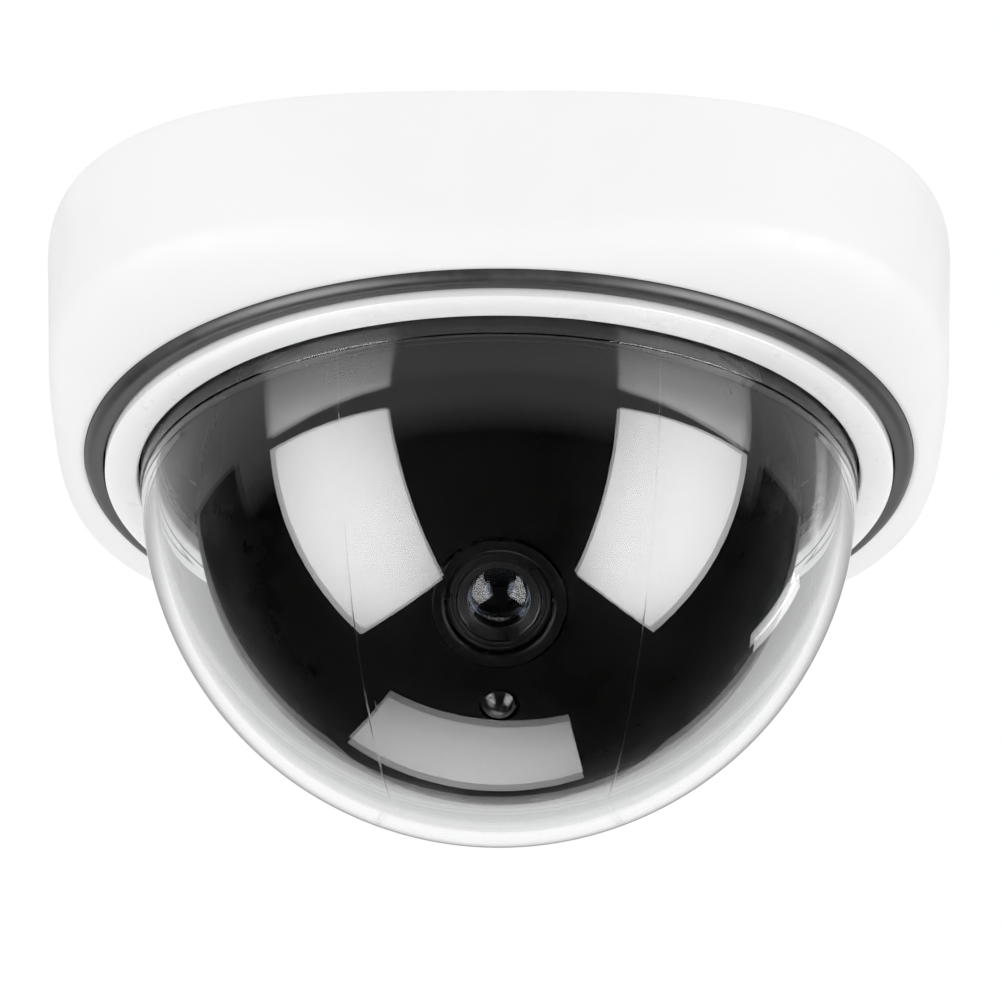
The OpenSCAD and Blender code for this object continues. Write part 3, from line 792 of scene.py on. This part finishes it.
def staged(name, mesh, material, *rays):
    """A piece of the studio, seen only by these kinds of ray."""
    data = bpy.data.meshes.new(name)
    mesh.to_mesh(data)
    mesh.free()
    data.materials.append(material)
    obj = bpy.data.objects.new(name, data)
    bpy.context.scene.collection.objects.link(obj)
    only_visible_to(obj, *rays)


def make_backdrops():
    """White all round for the camera, white behind the object for its reflections, and a pale floor."""
    room_r = 7
    floor_r = 6.7
    floor_z = -1.5
    backdrop_r = 3
    backdrop_half_angle = math.radians(67)
    room = bmesh.new()
    bmesh.ops.create_uvsphere(room, u_segments=64, v_segments=32, radius=room_r)
    staged("room", room, emission("room_white", 1.0, straight_only=True), "camera", "transmission")

    behind = bmesh.new()
    bmesh.ops.create_uvsphere(behind, u_segments=96, v_segments=60, radius=backdrop_r)
    edge_z = backdrop_r * math.cos(backdrop_half_angle)
    outside = [v for v in behind.verts if v.co.z < edge_z]
    bmesh.ops.delete(behind, geom=outside, context="VERTS")
    behind.transform(VIEW_DIRECTION.to_track_quat("Z", "Y").to_matrix().to_4x4())
    staged("backdrop", behind, emission("backdrop_white", 1.0), "glossy", "transmission")

    floor = bmesh.new()
    bmesh.ops.create_circle(floor, cap_ends=True, segments=96, radius=floor_r)
    floor.transform(Matrix.Translation((0, 0, floor_z)))
    paint = Nodes("floor_pale", Roughness=0.9, Specular_IOR_Level=0.0)
    pale = paint.mix(paint.noise(0.4), (0.72, 0.72, 0.72), (0.75, 0.75, 0.75))
    mirrored = paint.maths("GREATER_THAN", paint.add("ShaderNodeLightPath").outputs["Glossy Depth"], 0.5)
    paint.colour(paint.mix(mirrored, pale, (0, 0, 0)))
    staged("floor", floor, paint.material, "camera", "transmission")


def make_table():
    """The glossy white table-top that the base rests against, seen only from below, in glass and gloss.

    Painted shade: its front half is a duller grey, and a soft dark shadow is painted round a point behind the
    object.
    """
    half_width = 0.38
    depth_in_front = 0.215
    depth_behind = 0.6
    painted_shadow_y = 0.13
    painted_shadow_squeeze = 2.2
    painted_shadow_inner = 0.05
    painted_shadow_outer = 0.3
    table = bmesh.new()
    bmesh.ops.create_circle(table, cap_ends=True, segments=128, radius=1)
    bmesh.ops.reverse_faces(table, faces=[f for f in table.faces if f.normal.z > 0])
    for vert in table.verts:
        vert.co.x *= half_width
        vert.co.y *= depth_behind if vert.co.y > 0 else depth_in_front
        vert.co.z = MM
    paint = Nodes("table_white", Roughness=0.08, Specular_IOR_Level=0.32)
    # Painted shade: the front half of the table is a duller grey than the white behind it.
    front = paint.mix(paint.noise(0.1), (0.62, 0.62, 0.62), (0.66, 0.66, 0.66))
    split = paint.add("ShaderNodeSeparateXYZ")
    paint.link(paint.place, split.inputs["Vector"])
    bare = paint.mix(paint.ramp(split.outputs["Y"], 0, 1, 0, 0.1), front, (0.95, 0.95, 0.95))
    # Painted shadow: near black round a point behind the object, fading out between 0.05 and 0.3 m from it.
    across = paint.maths("POWER", paint.maths("MULTIPLY", split.outputs["X"], painted_shadow_squeeze), 2)
    behind = paint.maths("POWER", paint.maths("SUBTRACT", split.outputs["Y"], painted_shadow_y), 2)
    away = paint.maths("SQRT", paint.maths("ADD", across, behind))
    lit = paint.ramp(away, 0, 1, painted_shadow_inner, painted_shadow_outer)
    paint.colour(paint.mix(lit, (0.02, 0.02, 0.02), bare))
    from_above = paint.add("ShaderNodeNewGeometry").outputs["Backfacing"]
    sides = paint.add("ShaderNodeMixShader")
    paint.link(from_above, sides.inputs["Fac"])
    paint.link(paint.shader.outputs["BSDF"], sides.inputs[1])
    paint.link(paint.add("ShaderNodeBsdfTransparent").outputs["BSDF"], sides.inputs[2])
    paint.link(sides.outputs["Shader"], paint.tree.nodes["Material Output"].inputs["Surface"])
    staged("table", table, paint.material, "glossy", "transmission")


def make_wall():
    """A wall in front, painted light: it glows dimly and fades out towards its lower edge, seen only in glass and
    gloss.
    """
    radius = 1.5
    low = -0.3
    high = 0.3
    steps = 96
    wall = bmesh.new()
    for i in range(steps):
        corners = []
        for step, z in ((i, low), (i + 1, low), (i + 1, high), (i, high)):
            a = math.pi + math.pi * step / steps
            corners.append(wall.verts.new((radius * math.cos(a), radius * math.sin(a), z)))
        wall.faces.new(corners)
    paint = Nodes("wall_painted_glow")
    split = paint.add("ShaderNodeSeparateXYZ")
    paint.link(paint.place, split.inputs["Vector"])
    # Painted light: the wall glows, at most 0.36 near its top, fading to nothing towards its lower edge.
    glow = paint.add("ShaderNodeEmission")
    paint.link(paint.ramp(split.outputs["Z"], 0, 0.36, -0.24, 0.06), glow.inputs["Strength"])
    paint.link(glow.outputs["Emission"], paint.tree.nodes["Material Output"].inputs["Surface"])
    paint.material.cycles.emission_sampling = "NONE"
    staged("wall", wall, paint.material, "glossy", "transmission")


def light_studio():
    """Two tall soft boxes in front, one low behind, a strip, and even white light for matte surfaces."""
    soft_box("soft_box_left", -54, -29, 0.52, 0.77, 10.5, roll=-0.6, tilt=-14)
    soft_box("soft_box_right", 60, -28, 0.54, 0.75, 11, roll=2.3, tilt=-23)
    soft_box("soft_box_back", -167, -60, 0.6, 0.38, 4, roll=8, tilt=-3)
    soft_box("soft_box_side", 121, -10, 0.05, 0.2, 6)
    world = bpy.data.worlds.new("world")
    bpy.context.scene.world = world
    world.use_nodes = True
    world.node_tree.nodes["Background"].inputs["Color"].default_value = (1, 1, 1, 1)
    world.node_tree.nodes["Background"].inputs["Strength"].default_value = 1.0
    world.cycles_visibility.camera = False
    world.cycles_visibility.glossy = False
    world.cycles_visibility.transmission = False


place_camera()
make_backdrops()
make_table()
make_wall()
light_studio()
bpy.context.scene.view_settings.view_transform = "Standard"
